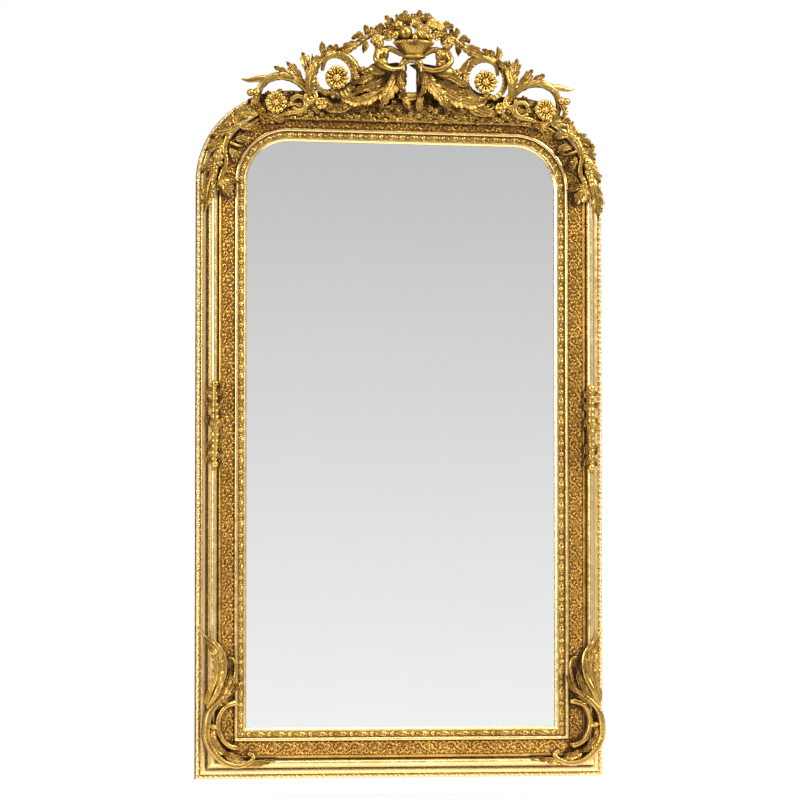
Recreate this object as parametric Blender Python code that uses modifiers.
"""A tall gilt wall mirror with an arched top, a moulded frame and an openwork crest.

The frame is one moulding swept round the glass. The crest, the shoulder sprays,
the side drops and the foot scrolls are cast ornaments that sit on its face.
Front is -Y, up is +Z, and the wall is the plane y = 0. The origin is on the
frame's back face, in the middle of the top rail, where the mirror hangs.
"""

import math

import bmesh
import bpy
from mathutils import Vector


# Frame, in metres
FRAME_WIDTH = 0.985
FRAME_HEIGHT = 1.612
SHOULDER_RADIUS = 0.218
ARC_STEPS = 7

# Widths of the moulding's members, from the outer edge to the glass
BEAD_WIDTH = 0.009
FILLET_WIDTH = 0.012
COVE_WIDTH = 0.006
TORUS_WIDTH = 0.018
BAND_WIDTH = 0.010
FRIEZE_WIDTH = 0.031
ASTRAGAL_WIDTH = 0.010
SIGHT_WIDTH = 0.014
LIP_WIDTH = 0.008

# Heights of the members above the wall
EDGE_HEIGHT = 0.017
BEAD_HEIGHT = 0.023
FILLET_HEIGHT = 0.021
TORUS_FOOT = 0.038
TORUS_HEIGHT = 0.050
BAND_HEIGHT = 0.045
FRIEZE_FOOT = 0.034
ASTRAGAL_HEIGHT = 0.0375
SIGHT_HEIGHT = 0.033
LIP_HEIGHT = 0.0245

# Rebate, glass and backing board
REBATE_WIDTH = 0.011
REBATE_DEPTH = 0.0205
GLASS_THICKNESS = 0.005
BOARD_THICKNESS = 0.006
PANEL_PLAY = 0.001
SEAT_GAP = 0.0003

# Ornaments: each is drawn in millimetres and scaled to its real size
CREST_MARGIN = 0.0865
CREST_OFFSET = 0.013
CREST_RISE = 0.012
CREST_SEAT = 46.0
CREST_DRAWN = 812.0
SPRAY_LENGTH = 0.285
SPRAY_DRAWN = 285.0
SPRAY_TOP_DRAWN = 236.0
SPRAY_TUCK = 0.0292
DROP_LENGTH = 0.222
DROP_DRAWN = 222.0
DROP_CENTRE = 0.820
SCROLL_HEIGHT = 0.348
SCROLL_DRAWN = 348.0
APRON_WIDTH = 0.068
APRON_THICKNESS = 0.005
APRON_ANGLE = 63
WEB_THICKNESS = 0.012
WEB_BACK = 0.026

# Grain at which the pieces of a casting are melted together, and the facets each one keeps
CASTING_GRAIN = 0.0024
CREST_FACETS = 6200
SPRAY_FACETS = 560
DROP_FACETS = 400
SCROLL_FACETS = 760

MEMBERS = (BEAD_WIDTH, FILLET_WIDTH, COVE_WIDTH, TORUS_WIDTH, BAND_WIDTH,
           FRIEZE_WIDTH, ASTRAGAL_WIDTH, SIGHT_WIDTH, LIP_WIDTH)
RAIL_WIDTH = sum(MEMBERS)
CREST_SPAN = FRAME_WIDTH - 2 * CREST_MARGIN
HANG_HEIGHT = FRAME_HEIGHT - RAIL_WIDTH / 2
FRONT = Vector((0, -1, 0))

GILT = ("gilding", (0.70, 0.50, 0.20), 0.35, 1.0)
SILVERED = ("silvered_glass", (0.86, 0.87, 0.87), 0.04, 1.0)
PLYWOOD = ("backing_board", (0.42, 0.30, 0.19), 0.8, 0.0)


def start_scene():
    """Empties the scene and makes the collections and the hanging point."""
    for old in list(bpy.data.objects):
        bpy.data.objects.remove(old)
    made = {}
    for name in ("wall_mirror", "cutters"):
        made[name] = bpy.data.collections.new(name)
        bpy.context.scene.collection.children.link(made[name])
    hang = bpy.data.objects.new("hanging_point", None)
    hang.location = (0, 0, -HANG_HEIGHT)
    made["wall_mirror"].objects.link(hang)
    return made["wall_mirror"], made["cutters"], hang


def material(name, colour, roughness, metallic):
    made = bpy.data.materials.new(name)
    made.use_nodes = True
    shader = made.node_tree.nodes["Principled BSDF"]
    shader.inputs["Base Color"].default_value = (*colour, 1)
    shader.inputs["Roughness"].default_value = roughness
    shader.inputs["Metallic"].default_value = metallic
    return made


PARTS, CUTTERS, HANG = start_scene()
MATERIALS = {entry[0]: material(*entry) for entry in (GILT, SILVERED, PLYWOOD)}


# Small tools

def link_mesh(name, mesh):
    made = bpy.data.objects.new(name, mesh)
    CUTTERS.objects.link(made)
    made.hide_render = True
    made.display_type = "WIRE"
    return made


def face_out(shape):
    bmesh.ops.recalc_face_normals(shape, faces=shape.faces)
    if shape.calc_volume(signed=True) < 0:
        bmesh.ops.reverse_faces(shape, faces=shape.faces)


def loft(name, sections, closed=False):
    """A closed solid through rings of points, with flat ends unless it closes on itself."""
    shape = bmesh.new()
    rings = [[shape.verts.new(point) for point in section] for section in sections]
    pairs = list(zip(rings, rings[1:] + rings[:1])) if closed else list(zip(rings, rings[1:]))
    for ring, following in pairs:
        for i in range(len(ring)):
            j = (i + 1) % len(ring)
            shape.faces.new((ring[i], ring[j], following[j], following[i]))
    if not closed:
        shape.faces.new(rings[0])
        shape.faces.new(rings[-1])
    bmesh.ops.triangulate(shape, faces=[f for f in shape.faces if len(f.verts) > 4])
    face_out(shape)
    mesh = bpy.data.meshes.new(name)
    shape.to_mesh(mesh)
    shape.free()
    return link_mesh(name, mesh)


def as_mesh(source, weld=0.0):
    """The evaluated mesh of a curve or a modified object, in place of the object."""
    bpy.context.view_layer.update()
    graph = bpy.context.evaluated_depsgraph_get()
    mesh = bpy.data.meshes.new_from_object(source.evaluated_get(graph))
    mesh.transform(source.matrix_world)
    shape = bmesh.new()
    shape.from_mesh(mesh)
    if weld:
        bmesh.ops.remove_doubles(shape, verts=shape.verts, dist=weld)
    face_out(shape)
    shape.to_mesh(mesh)
    shape.free()
    name = source.name
    bpy.data.objects.remove(source)
    return link_mesh(name, mesh)


def smooth(points, count):
    """Points evenly spaced in parameter on a Catmull-Rom curve through the given ones."""
    ends = [2 * points[0] - points[1], *points, 2 * points[-1] - points[-2]]
    found = []
    for k in range(count):
        place = k * (len(points) - 1) / (count - 1)
        i = min(int(place), len(points) - 2)
        t = place - i
        a, b, c, d = ends[i:i + 4]
        found.append(0.5 * (2 * b + (c - a) * t + (2 * a - 5 * b + 4 * c - d) * t * t
                            + (3 * b - a - 3 * c + d) * t ** 3))
    return found


def tangents(points):
    last = len(points) - 1
    return [(points[min(i + 1, last)] - points[max(i - 1, 0)]).normalized()
            for i in range(len(points))]


def stem(name, points, radii, count, sides=5):
    """A tapering round stem along a smooth curve."""
    line = smooth(points, count)
    widths = smooth([Vector((r, 0, 0)) for r in radii], count)
    across = tangents(line)[0].cross(FRONT + Vector((0.1, 0, 0.05))).normalized()
    sections = []
    for place, along, width in zip(line, tangents(line), widths):
        across = (across - along * across.dot(along)).normalized()
        out = across.cross(along)
        turns = [2 * math.pi * k / sides for k in range(sides)]
        sections.append([place + width.x * (math.cos(a) * across + math.sin(a) * out) for a in turns])
    return loft(name, sections)


def leaf_share(t, lobes):
    """Half-width of an acanthus leaf at t from base to tip, as a share of its widest."""
    outline = 0.30 + 0.70 * math.sin(math.pi * min(1, 0.12 + 0.95 * t)) ** 0.8
    notch = abs(math.cos(math.pi * lobes * t)) if lobes else 0
    return max(0.06, outline * (1 - 0.42 * notch * (0.3 + 0.7 * t))) * (1 - t ** 6 * 0.85)


def leaf(name, points, half_width, lobes=3, sides=(1, 1), thickness=0.005):
    """An acanthus leaf: a crowned blade with a sunk midrib and a lobed edge."""
    count = max(4, 2 * lobes + 1)
    line = smooth(points, count)
    sections = []
    for i, (place, along) in enumerate(zip(line, tangents(line))):
        t = i / (count - 1)
        across = along.cross(FRONT).normalized()
        out = across.cross(along).normalized()
        width = half_width * leaf_share(t, lobes)
        crown = thickness * (0.7 + 0.5 * math.sin(math.pi * t))
        left, right = across * width * sides[0], across * width * sides[1]
        sections.append([place - left, place - left * 0.45 + out * crown,
                         place + out * crown * 0.4, place + right * 0.45 + out * crown,
                         place + right])
    return loft(name, sections)


def ball(name, centre, radii, segments=7, rings=4):
    shape = bmesh.new()
    bmesh.ops.create_uvsphere(shape, u_segments=segments, v_segments=rings, radius=1)
    for vertex in shape.verts:
        vertex.co = centre + Vector([v * r for v, r in zip(vertex.co, radii)])
    mesh = bpy.data.meshes.new(name)
    shape.to_mesh(mesh)
    shape.free()
    return link_mesh(name, mesh)


def rosette(name, centre, radius, petals=10):
    """A daisy with a domed eye, facing the front."""
    rings = ((0.12, 0.42, 0), (0.36, 0.16, 0), (0.80, 0.34, 0.05), (1.00, 0.06, 0.18),
             (0.50, -0.24, 0))
    sections = []
    for share, lift, scallop in rings:
        ring = []
        for k in range(2 * petals):
            angle = math.pi * k / petals
            reach = radius * share * (1 - scallop * (k % 2))
            ring.append(centre + Vector((reach * math.cos(angle), -lift * radius,
                                         reach * math.sin(angle))))
        sections.append(ring)
    return loft(name, sections)


def turned(name, profile, centre, steps=11):
    """A vessel turned about an upright axis, from a profile that starts and ends on it."""
    mesh = bpy.data.meshes.new(name)
    mesh.from_pydata([(r, 0, z) for r, z in profile], [(i, i + 1) for i in range(len(profile) - 1)], [])
    made = bpy.data.objects.new(name, mesh)
    CUTTERS.objects.link(made)
    made.location = centre
    screw = made.modifiers.new("turn", "SCREW")
    screw.steps = screw.render_steps = steps
    screw.use_merge_vertices = True
    screw.merge_threshold = 0.00005
    return as_mesh(made, weld=0.00002)


def flat_plate(name, outline, back, thickness):
    """A plate parallel to the wall, cut to an outline of (x, z) points."""
    curve = bpy.data.curves.new(name, "CURVE")
    curve.dimensions = "2D"
    curve.fill_mode = "BOTH"
    curve.extrude = thickness / 2
    spline = curve.splines.new("POLY")
    spline.points.add(len(outline) - 1)
    for target, (x, z) in zip(spline.points, outline):
        target.co = (x, z, 0, 1)
    spline.use_cyclic_u = True
    made = bpy.data.objects.new(name, curve)
    CUTTERS.objects.link(made)
    made.rotation_euler = (math.pi / 2, 0, 0)
    made.location = (0, -back - thickness / 2, 0)
    return as_mesh(made, weld=0.00002)


def boolean(target, operation, cutter):
    """The target's mesh joined with, or cut by, an object or a collection."""
    step = target.modifiers.new(operation.lower(), "BOOLEAN")
    step.operation = operation
    step.solver = "MANIFOLD"
    if isinstance(cutter, bpy.types.Collection):
        step.operand_type = "COLLECTION"
        step.collection = cutter
    else:
        step.object = cutter
    return as_mesh(target)


def join_and_seat(name, pieces, seat, facets):
    """Melts the pieces into one casting and cuts its back to sit on the frame's face."""
    shape = bmesh.new()
    for piece in pieces:
        shape.from_mesh(piece.data)
        bpy.data.objects.remove(piece)
    mesh = bpy.data.meshes.new(name)
    shape.to_mesh(mesh)
    shape.free()
    whole = link_mesh(name, mesh)
    melt = whole.modifiers.new("melt", "REMESH")
    melt.mode = "VOXEL"
    melt.voxel_size = CASTING_GRAIN
    whole = as_mesh(whole)
    thin = whole.modifiers.new("thin", "DECIMATE")
    thin.ratio = min(1, facets / (2 * len(whole.data.polygons)))
    return finish(boolean(as_mesh(whole), "DIFFERENCE", seat), name, GILT[0])


def finish(piece, name, finish_name):
    """Moves a piece from the workshop to the mirror, on the hanging point."""
    piece.name = name
    piece.data.name = name
    piece.data.materials.clear()
    piece.data.materials.append(MATERIALS[finish_name])
    for group in list(piece.users_collection):
        group.objects.unlink(piece)
    PARTS.objects.link(piece)
    piece.hide_render = False
    piece.display_type = "SOLID"
    piece.parent = HANG
    return piece


# The moulding

def half_round(start, width, foot, top, steps):
    """Points of a half-round member between its two feet."""
    return [(start + width * (1 - math.cos(math.pi * k / steps)) / 2,
             foot + (top - foot) * math.sin(math.pi * k / steps)) for k in range(steps + 1)]


def member_starts():
    starts = [0]
    for width in MEMBERS:
        starts.append(starts[-1] + width)
    return starts


def moulding_profile():
    """The frame's section as (distance in from the outer edge, height above the wall)."""
    bead, fillet, cove, torus, band, frieze, astragal, sight, lip, end = member_starts()
    quirk = 0.0012
    points = [(0, 0), (0, EDGE_HEIGHT)]
    points += half_round(bead + quirk / 2, BEAD_WIDTH - quirk, EDGE_HEIGHT + quirk, BEAD_HEIGHT, 4)
    points += [(fillet, FILLET_HEIGHT), (cove, FILLET_HEIGHT + quirk)]
    points += [(cove + COVE_WIDTH * 0.25, FILLET_HEIGHT - quirk),
               (cove + COVE_WIDTH * 0.70, (FILLET_HEIGHT + TORUS_FOOT) / 2 - quirk)]
    points += half_round(torus, TORUS_WIDTH, TORUS_FOOT, TORUS_HEIGHT, 6)
    points += [(band + quirk, BAND_HEIGHT - quirk), (frieze - quirk, BAND_HEIGHT)]
    sunk = (BAND_HEIGHT + FRIEZE_FOOT) / 2 - 2 * quirk
    points += [(frieze, BAND_HEIGHT - 2 * quirk), (frieze + FRIEZE_WIDTH / 2, sunk),
               (astragal - quirk, FRIEZE_FOOT - quirk)]
    points += half_round(astragal, ASTRAGAL_WIDTH - quirk, FRIEZE_FOOT - quirk, ASTRAGAL_HEIGHT, 4)
    points += [(sight, FRIEZE_FOOT - 3 * quirk), (sight + SIGHT_WIDTH / 2, SIGHT_HEIGHT),
               (lip - quirk, SIGHT_HEIGHT - 2 * quirk), (lip, LIP_HEIGHT + 3 * quirk)]
    points += [(end, LIP_HEIGHT), (end, REBATE_DEPTH)]
    points += [(end - REBATE_WIDTH, REBATE_DEPTH), (end - REBATE_WIDTH, 0)]
    return points


def seat_marks(gap=0.0):
    """The high points of the moulding, on which the ornaments rest, raised by a gap."""
    _, fillet, cove, torus, band, frieze, astragal, sight, lip, end = member_starts()
    over_torus = half_round(torus - gap, TORUS_WIDTH + 2 * gap, TORUS_FOOT, TORUS_HEIGHT, 6)[:-1]
    marks = [(-gap, BEAD_HEIGHT), (fillet, BEAD_HEIGHT), *over_torus, (band, BAND_HEIGHT),
             (frieze, BAND_HEIGHT), (astragal, ASTRAGAL_HEIGHT), (sight, ASTRAGAL_HEIGHT),
             (lip, SIGHT_HEIGHT), (end + gap, LIP_HEIGHT)]
    return [(w, h + gap) for w, h in marks]


def seat_height(inset):
    """Height above the wall of the surface that an ornament rests on."""
    marks = seat_marks()
    if inset <= marks[0][0]:
        return marks[0][1]
    for (low, start), (high, end) in zip(marks, marks[1:]):
        if inset <= high:
            return start + (end - start) * (inset - low) / (high - low)
    return marks[-1][1]


def arc_stations(turn, low=0, steps=ARC_STEPS):
    """Outer-edge points and inward directions round one shoulder, from an angle up to the crown."""
    centre = Vector((FRAME_WIDTH / 2 - SHOULDER_RADIUS, FRAME_HEIGHT - SHOULDER_RADIUS))
    found = []
    for k in range(steps + 1):
        angle = math.radians(low + (90 - low) * k / steps)
        out = Vector((math.cos(angle), math.sin(angle)))
        edge = centre + SHOULDER_RADIUS * out
        found.append((Vector((turn * edge.x, edge.y)), Vector((-turn * out.x, -out.y))))
    return found


def frame_stations():
    """The outer edge as (point, inward direction), mitred at the square feet."""
    half = FRAME_WIDTH / 2
    feet = [(Vector((-half, 0)), Vector((1, 1))), (Vector((half, 0)), Vector((-1, 1)))]
    return feet + arc_stations(1) + list(reversed(arc_stations(-1)))


def sweep(name, profile, stations, closed=True):
    sections = [[Vector((edge.x + inward.x * w, -h, edge.y + inward.y * w)) for w, h in profile]
                for edge, inward in stations]
    return loft(name, sections, closed)


def panel(name, inset, front, thickness, finish_name):
    """A sheet in the rebate, with the frame's outline at an inset."""
    outline = [(edge.x + inward.x * inset, edge.y + inward.y * inset)
               for edge, inward in frame_stations()]
    return finish(flat_plate(name, outline, front - thickness, thickness), name, finish_name)


def build_frame():
    return finish(sweep("frame", moulding_profile(), frame_stations()), "frame", GILT[0])


def build_panels():
    inset = RAIL_WIDTH - REBATE_WIDTH + PANEL_PLAY
    glass_front = REBATE_DEPTH - SEAT_GAP
    board_front = glass_front - GLASS_THICKNESS - SEAT_GAP
    panel("mirror_glass", inset, glass_front, GLASS_THICKNESS, SILVERED[0])
    panel("backing_board", inset, board_front, BOARD_THICKNESS, PLYWOOD[0])


def build_seat():
    """A cutter just larger than the frame: ornaments are cut to it, so they clear the frame."""
    marks = seat_marks(SEAT_GAP)
    profile = [(marks[0][0], -0.01), *marks, (marks[-1][0], -0.01)]
    return sweep("seat", profile, frame_stations())


# Where an ornament's drawing lies on the frame. Drawn points are in millimetres.

def on_crest(side):
    """Crest points: distance out from the middle, height over the crest's foot, height off the wall.

    However wide the crest is, what is drawn at the seat's height stays at that height.
    """
    scale = CREST_SPAN / CREST_DRAWN

    def place(out, up, off):
        depth = CREST_SEAT * 0.001 + (off - CREST_SEAT) * scale
        return Vector((side * out * scale + CREST_OFFSET, -depth, FRAME_HEIGHT + CREST_RISE + up * scale))
    return place, scale


def on_shoulder(side):
    """Spray points: inset from the edge, way along it above the spring line, lift off the seat.

    The upper end stays tucked in beside the crest, so a longer spray grows down the stile.
    """
    scale = SPRAY_LENGTH / SPRAY_DRAWN
    top = SHOULDER_RADIUS * math.acos(1 - (CREST_MARGIN + SPRAY_TUCK) / SHOULDER_RADIUS)

    def place(inset, along, lift):
        inset, along = inset * scale, top - (SPRAY_TOP_DRAWN - along) * scale
        angle = max(0, along) / SHOULDER_RADIUS
        reach = SHOULDER_RADIUS - inset
        x = FRAME_WIDTH / 2 - SHOULDER_RADIUS + reach * math.cos(angle)
        z = FRAME_HEIGHT - SHOULDER_RADIUS + reach * math.sin(angle) + min(0, along)
        return Vector((side * x, -seat_height(inset) - lift * scale, z))
    return place, scale


def on_stile(side):
    """Side-drop points: inset from the edge, way up from the drop's centre, lift off the seat."""
    scale = DROP_LENGTH / DROP_DRAWN

    def place(inset, up, lift):
        return Vector((side * (FRAME_WIDTH / 2 - inset * scale),
                       -seat_height(inset * scale) - lift * scale, DROP_CENTRE + up * scale))
    return place, scale


def on_foot(side):
    """Foot-scroll points: inset from the side edge, height over the bottom edge, lift off the seat."""
    scale = SCROLL_HEIGHT / SCROLL_DRAWN

    def place(inset, up, lift):
        inset, up = inset * scale, up * scale
        return Vector((side * (FRAME_WIDTH / 2 - inset),
                       -seat_height(min(inset, up)) - lift * scale, up))
    return place, scale


def drawn(place, points):
    return [place(*point[:3]) for point in points]


def drawn_stem(name, spot, points, count):
    place, scale = spot
    return stem(name, drawn(place, points), [point[3] * scale for point in points], count)


def drawn_leaf(name, spot, points, half_width, lobes=3, sides=(1, 1)):
    place, scale = spot
    return leaf(name, drawn(place, points), half_width * scale, lobes, sides,
                thickness=5.5 * scale)


def ring_points(centre, radius, start, turn, count, off, thick, taper=0.6, shrink=0.0):
    """Points (out, up, off, radius) of a volute that turns round a centre, in degrees."""
    found = []
    for k in range(count):
        t = k / (count - 1)
        angle = math.radians(start + turn * t)
        reach = radius * (1 - shrink * t)
        found.append((centre[0] + reach * math.cos(angle), centre[1] + reach * math.sin(angle),
                      off[0] + (off[1] - off[0]) * t, thick * (1 - (1 - taper) * t)))
    return found


# The crest

def crest_scrolls(side):
    """Two flowering volutes, the tendril and the stems that tie them to the middle."""
    spot = on_crest(side)
    inner = ring_points((184, 25), 49, 262, -330, 13, (46, 52), 9.5, 0.65)
    arm = [(138, 40, 50, 5), (150, 66, 54, 7), (178, 74, 56, 6.5), (206, 62, 56, 6), (214, 36, 52, 4)]
    outer = [(238, -26, 46, 9), (262, 4, 50, 10.5), (290, 17, 52, 9.5), (314, 20, 52, 9.5),
             (338, 14, 52, 9), (356, 0, 50, 8), (365, -20, 46, 7), (366, -44, 40, 7),
             (352, -70, 44, 6), (324, -76, 52, 6)]
    made = [
        drawn_stem("inner_volute", spot, inner, 15),
        drawn_stem("volute_arm", spot, arm, 8),
        drawn_stem("outer_volute", spot, outer, 14),
        drawn_stem("tendril", spot, [(338, 12, 50, 9), (366, 12, 48, 7.5), (388, 8, 46, 5), (406, 11, 44, 1.5)], 6),
        drawn_stem("top_stem", spot, [(212, 70, 50, 8), (172, 80, 52, 10), (146, 90, 54, 9), (120, 108, 56, 7),
                                      (94, 124, 58, 6.5), (50, 132, 62, 5)], 10),
        drawn_stem("back_stem", spot, [(168, 76, 50, 8), (146, 66, 48, 9), (127, 44, 46, 8), (108, 24, 44, 8)], 6),
        drawn_stem("root_stem", spot, [(200, -14, 46, 8), (150, -22, 44, 9), (104, 4, 44, 9)], 6),
        drawn_stem("base_run", spot, [(243, -38, 54, 6), (262, -60, 54, 6), (292, -66, 54, 6), (324, -76, 52, 6)], 6),
        drawn_stem("rosette_stalk", spot, [(324, -76, 50, 6), (330, -60, 52, 6), (326, -44, 55, 7)], 4),
        drawn_stem("flower_stalk", spot, [(242, -28, 54, 5), (230, -40, 54, 5), (218, -43, 56, 6)], 4),
        drawn_stem("small_volute", spot, ring_points((243, -27), 13, 60, 320, 9, (56, 62), 5, 0.8), 8),
        drawn_stem("shell_volute", spot, ring_points((272, -44), 17, 20, 300, 9, (54, 60), 5, 0.7), 8),
    ]
    for name, out, up, off, size in (("inner_rosette", 181, 18, 62, 28), ("outer_rosette", 328, -44, 62, 25)):
        made.append(rosette(name, spot[0](out, up, off), size * spot[1]))
        made.append(ball(name + "_calyx", spot[0](out, up, off - 8), [size * 0.5 * spot[1]] * 3, 6, 4))
        made.append(drawn_stem(name + "_stalk", spot, [(out, up, off - 10, 6), (out + 6, up - 26, off - 14, 6),
                                                       (out + 4, up - 46, off - 16, 6)], 4))
    made.append(rosette("small_flower", spot[0](218, -43, 62), 14 * spot[1], 5))
    made.append(ball("small_calyx", spot[0](218, -43, 56), [9 * spot[1]] * 3))
    for name, out, up, size in (("bud", 371, -20, 10), ("outer_bud", 385, -21, 9), ("hip_bud", 114, 40, 9)):
        made.append(ball(name, spot[0](out, up, 50), [size * spot[1]] * 3))
    return made


def crest_leaves(side):
    """The acanthus of one half: the long swept skirt leaves, then the tufts on the scrolls."""
    spot = on_crest(side)
    skirt = (
        ("sweep_leaf", [(34, 42, 50), (58, 6, 66), (96, -21, 74), (136, -35, 76), (168, -32, 78), (184, -16, 84)],
         20, 5, (1.0, 0.5)),
        ("broad_leaf", [(32, 38, 56), (47, 6, 72), (66, -24, 82), (84, -58, 78)], 19, 3, (1, 1)),
        ("low_leaf", [(50, 8, 36), (80, -28, 50), (114, -50, 54), (146, -60, 50)], 14, 4, (1, 1)),
        ("keyhole_leaf", [(24, 44, 58), (31, 18, 70), (26, -6, 74), (13, -22, 68)], 11, 3, (1, 0.8)),
        ("centre_leaf", [(22, -10, 60), (17, -34, 70), (8, -60, 70)], 10, 2, (1, 1)),
        ("hip_leaf", [(60, 34, 52), (92, 30, 62), (120, 14, 66), (148, 4, 60)], 13, 3, (1, 1)),
        ("fan_leaf", [(146, -38, 54), (182, -54, 62), (214, -58, 58)], 12, 3, (1, 1)),
    )
    tufts = (
        ("tuft_leaf", [(246, -22, 58), (246, 12, 66), (240, 40, 64), (240, 72, 58)], 17, 3, (1, 1)),
        ("tall_tip", [(206, 66, 52), (216, 84, 54), (218, 102, 48)], 13, 1, (1, 1)),
        ("side_tip", [(245, 20, 61), (254, 50, 57), (262, 78, 48)], 15, 1, (1, 1)),
        ("arch_tip", [(262, 4, 54), (282, 30, 56), (300, 54, 48)], 14, 1, (1, 1)),
        ("edge_tip", [(292, 14, 54), (312, 30, 54), (330, 42, 48)], 11, 1, (1, 1)),
        ("ring_leaf", [(238, 24, 54), (230, 52, 60), (208, 72, 62)], 15, 2, (1, 1)),
        ("stem_leaf", [(128, 102, 56), (150, 94, 62), (182, 82, 58)], 13, 2, (1, 1)),
        ("up_leaf", [(106, 118, 58), (110, 132, 60), (112, 144, 54)], 11, 1, (1, 1)),
        ("out_leaf", [(114, 112, 58), (128, 118, 62), (144, 112, 54)], 11, 1, (1, 1)),
        ("hang_leaf", [(112, 112, 56), (113, 98, 60), (116, 80, 54)], 11, 1, (1, 1)),
        ("bud_leaf", [(368, -24, 48), (378, -44, 52), (372, -66, 50)], 9, 2, (1, 1)),
        ("bind_leaf", [(344, -66, 48), (322, -82, 56), (296, -80, 52)], 9, 2, (1, 1)),
    )
    return [drawn_leaf(name, spot, points, width, lobes, sides)
            for name, points, width, lobes, sides in skirt + tufts]


def crest_web(side):
    """The solid ground behind the skirt leaves, pierced only by the keyhole."""
    place, scale = on_crest(side)
    outline = [(21, -32), (21, 46), (3, 58), (30, 62), (72, 56), (110, 46), (132, 20), (170, -4),
               (232, -14), (240, -42), (150, -46)]
    points = [place(out, up, 0) for out, up in outline]
    return flat_plate("web", [(p.x, p.z) for p in points], WEB_BACK, WEB_THICKNESS)


def putto(side):
    """A half-figure whose body ends in the skirt leaves, turned to the basket."""
    place, scale = on_crest(side)
    sizes = (
        ("head", (85, 104, 76), (15, 15, 17), 8, 7), ("hair", (89, 110, 71), (17, 15, 15), 7, 5),
        ("chest", (74, 76, 70), (18, 13, 20), 7, 5), ("belly", (74, 56, 67), (16, 13, 18), 7, 5),
        ("hips", (80, 40, 60), (26, 14, 17), 7, 5),
    )
    made = [ball(name, place(*centre), [size * scale for size in radii], segments, rings)
            for name, centre, radii, segments, rings in sizes]
    spot = (place, scale)
    made.append(drawn_stem("near_arm", spot, [(84, 84, 78, 8), (90, 62, 84, 8), (72, 46, 88, 7),
                                              (50, 40, 84, 6), (28, 44, 76, 5.5)], 9))
    made.append(drawn_stem("far_arm", spot, [(70, 88, 66, 8), (52, 90, 68, 7.5), (28, 78, 70, 6)], 5))
    made.append(drawn_stem("neck", spot, [(80, 80, 68, 7), (85, 97, 71, 7)], 3))
    return made


def basket():
    """The fruit bowl on its arch over the keyhole."""
    place, scale = on_crest(1)
    profile = [(0, 109), (44, 109), (49, 106), (46, 101), (40, 93), (30, 82), (25, 76), (28, 72),
               (24, 68), (0, 68)]
    foot = place(4, 0, 70)
    bowl = turned("bowl", [(r * scale, up * scale) for r, up in profile], foot)
    for vertex in bowl.data.vertices:
        vertex.co.y = foot.y + (vertex.co.y - foot.y) * 0.72
    arch = [(-24, 34, 56, 7), (-20, 58, 62, 8), (0, 68, 64, 10), (20, 58, 62, 8), (24, 34, 56, 7)]
    sill = [(-26, -16, 46, 10), (0, -20, 46, 11), (26, -16, 46, 10)]
    return [bowl, drawn_stem("arch", (place, scale), arch, 9), drawn_stem("sill", (place, scale), sill, 3)]


def bouquet():
    """Fruit, roses and leaves heaped in the bowl."""
    place, scale = on_crest(1)
    made = [ball("heap", place(2, 124, 66), [56 * scale, 17 * scale, 34 * scale])]
    for name, out, up, off, size in (
            ("pear", -20, 129, 80, 13), ("rose", 21, 131, 80, 16), ("rose_back", 46, 153, 70, 13),
            ("heart", 6, 151, 68, 16), ("bloom_left", -49, 117, 76, 11), ("plum", -32, 148, 72, 12),
            ("bloom_right", 51, 124, 76, 12), ("posy_left", -54, 138, 66, 12), ("posy_right", 71, 136, 66, 12),
            ("side_left", -76, 126, 60, 9), ("side_right", 84, 122, 60, 8), ("top_rose", -8, 158, 62, 11)):
        made.append(ball(name, place(out, up, off), [size * scale] * 3))
    for name, points, width in (
            ("tip_left", [(-12, 150, 62), (-16, 166, 66), (-16, 182, 60)], 12),
            ("tip_right", [(10, 154, 62), (17, 170, 66), (20, 184, 60)], 12),
            ("leaf_left", [(-40, 138, 66), (-54, 152, 68), (-64, 168, 60)], 12),
            ("leaf_right", [(66, 140, 64), (84, 148, 66), (103, 146, 58)], 13),
            ("leaf_crown", [(26, 150, 62), (36, 164, 64), (46, 174, 58)], 12),
            ("leaf_low", [(-62, 132, 62), (-76, 140, 62), (-88, 136, 56)], 10)):
        made.append(drawn_leaf(name, (place, scale), points, width, 1))
    return made


def build_apron():
    """The curved ground that carries the crest on the top rail."""
    marks = [w for w, _ in seat_marks() if w < APRON_WIDTH] + [APRON_WIDTH]
    top = [(w, seat_height(w) + APRON_THICKNESS) for w in marks]
    under = [(w, seat_height(w) - 0.003) for w in reversed(marks)]
    lap = 0.0015
    profile = [(-lap, seat_height(0) - 0.003), (-lap, seat_height(0) + APRON_THICKNESS)] + top + under
    shoulder = arc_stations(1, low=APRON_ANGLE, steps=3)
    mirrored = [(Vector((-edge.x, edge.y)), Vector((-inward.x, inward.y)))
                for edge, inward in reversed(shoulder)]
    return sweep("apron", profile, shoulder + mirrored, closed=False)


def build_crest(seat):
    pieces = [build_apron(), *basket(), *bouquet()]
    for side in (-1, 1):
        pieces += [crest_web(side), *crest_scrolls(side), *crest_leaves(side), *putto(side)]
    return join_and_seat("crest", pieces, seat, CREST_FACETS)


# The ornaments on the stiles

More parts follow.
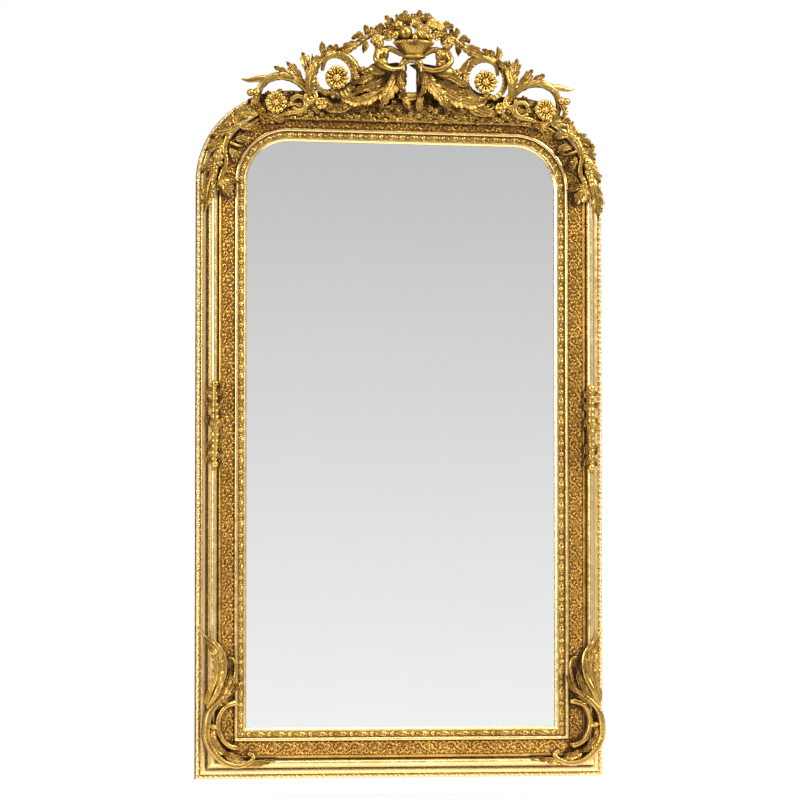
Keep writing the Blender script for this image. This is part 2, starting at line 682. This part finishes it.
def build_spray(side, name, seat):
    """The shoulder spray: a rim round the corner panel, two flowers and falling leaves."""
    spot = on_shoulder(side)
    place, scale = spot
    pieces = [
        drawn_stem("rim", spot, [(44, -20, 4, 5), (50, 15, 6, 5.5), (56, 58, 6, 5.5), (42, 94, 6, 5.5),
                                 (34, 124, 7, 5.5), (30, 150, 7, 5.5), (36, 174, 7, 5), (50, 190, 5, 4)], 16),
        rosette("flower", place(31, 62, 9), 17 * scale, 6),
        rosette("upper_flower", place(20, 168, 9), 15 * scale, 5),
        drawn_stem("flower_stalk", spot, [(20, 168, 3, 6), (26, 130, 3, 6), (32, 95, 3, 6), (32, 62, 3, 7),
                                          (34, 20, 3, 7), (30, -10, 2, 5)], 8),
    ]
    for leaf_name, points, width, lobes in (
            ("inner_leaf", [(46, 10, 5), (58, -10, 12), (70, -32, 6)], 15, 2),
            ("outer_leaf", [(30, 16, 5), (20, -14, 13), (16, -40, 12), (12, -68, 4)], 15, 3),
            ("fan_leaf", [(24, 140, 5), (15, 120, 13), (10, 98, 6)], 13, 2),
            ("top_leaf", [(32, 168, 5), (18, 184, 12), (4, 196, 6)], 12, 2),
            ("panel_leaf", [(36, 172, 6), (50, 188, 12), (62, 200, 4)], 11, 2),
            ("crown_leaf", [(40, 236, 3), (24, 214, 11), (8, 190, 4)], 14, 2),
            ("edge_leaf", [(36, 156, 6), (20, 140, 14), (5, 118, 5)], 14, 2),
            ("wing_leaf", [(38, 112, 6), (20, 98, 13), (5, 82, 4)], 12, 2),
            ("low_leaf", [(34, 46, 6), (20, 36, 12), (6, 22, 4)], 11, 2),
            ("cross_leaf", [(50, 12, 6), (72, 6, 10), (96, -4, 5)], 9, 2)):
        pieces.append(drawn_leaf(leaf_name, spot, points, width, lobes))
    return join_and_seat(name, pieces, seat, SPRAY_FACETS)


def build_drop(side, name, seat):
    """The floral drop at the middle of a stile: buds, paired leaves and a rose."""
    spot = on_stile(side)
    place, scale = spot
    pieces = [drawn_stem("spine", spot, [(35, -104, 0, 5), (36, -60, 2, 8), (36, 0, 3, 10), (36, 60, 2, 8),
                                         (36, 100, 0, 5)], 9)]
    for ball_name, inset, up, lift, size in (("top_bud", 36, 100, 2, 9), ("rose", 36, 4, 7, 13),
                                             ("low_bud", 36, -88, 3, 9)):
        pieces.append(ball(ball_name, place(inset, up, lift), [size * scale] * 3))
    for k, (start, end) in enumerate(((70, 92), (38, 66), (-10, 30), (-26, -58), (-62, -84))):
        for turn in (-1, 1):
            points = [(36, start, 4), (36 + turn * 11, (start + end) / 2, 8), (36 + turn * 15, end, 3)]
            pieces.append(drawn_leaf("pair_leaf_%d" % k, spot, points, 8, 1))
    return join_and_seat(name, pieces, seat, DROP_FACETS)


def build_scroll(side, name, seat):
    """The foot scroll: two deep C-scrolls, the rising acanthus and the leaves that fill between."""
    spot = on_foot(side)
    outer = [(72, 200, 18, 4), (46, 181, 20, 5.5), (23, 154, 34, 6.5), (16, 124, 42, 7), (17, 91, 40, 7),
             (34, 60, 20, 7), (60, 38, 16, 6.5), (92, 31, 15, 5.5), (120, 40, 10, 5), (128, 53, 9, 4.5),
             (117, 60, 8, 4)]
    inner = [(84, 178, 20, 6.5), (60, 169, 23, 5), (45, 145, 19, 5.5), (43, 118, 18, 6), (53, 92, 21, 5.5),
             (69, 78, 22, 5), (85, 73, 20, 6.5)]
    pieces = [drawn_stem("bridge", spot, [(17, 126, 24, 7), (30, 122, 20, 7), (43, 119, 14, 7)], 3)]
    for share in (0.25, 0.62, 1):
        for stem_name, points, count in (("outer_c", outer, 22), ("inner_c", inner, 14)):
            rows = [(inset, rise, lift * share, radius) for inset, rise, lift, radius in points]
            pieces.append(drawn_stem(stem_name, spot, rows, count))
    for leaf_name, points, width, lobes, sides in (
            ("rising_leaf", [(22, 160, 24), (33, 195, 18), (47, 228, 17), (52, 262, 18), (47, 292, 16),
                             (31, 318, 12), (9, 348, 5)], 17, 5, (1, 1)),
            ("inner_leaf", [(40, 186, 6), (62, 212, 10), (78, 240, 12), (90, 276, 6)], 10, 3, (1, 1)),
            ("between_leaf", [(26, 128, 20), (28, 96, 26), (46, 70, 18), (76, 54, 8)], 10, 3, (1, 1)),
            ("tail_leaf", [(96, 34, 4), (128, 36, 9), (158, 40, 8), (184, 48, 3)], 9, 3, (1, 1)),
            ("head_leaf", [(26, 160, 22), (50, 178, 20), (76, 190, 12)], 8, 2, (1, 1))):
        pieces.append(drawn_leaf(leaf_name, spot, points, width, lobes, sides))
    return join_and_seat(name, pieces, seat, SCROLL_FACETS)


def build_mirror():
    build_frame()
    build_panels()
    seat = build_seat()
    build_crest(seat)
    for side, word in ((-1, "left"), (1, "right")):
        build_spray(side, "shoulder_spray_" + word, seat)
        build_drop(side, "side_drop_" + word, seat)
        build_scroll(side, "foot_scroll_" + word, seat)
    for piece in PARTS.objects:
        if piece.type == "MESH" and piece.name not in ("mirror_glass", "backing_board"):
            piece.data.shade_smooth()
            piece.data.set_sharp_from_angle(angle=math.radians(35))


if __name__ == "__main__":
    build_mirror()
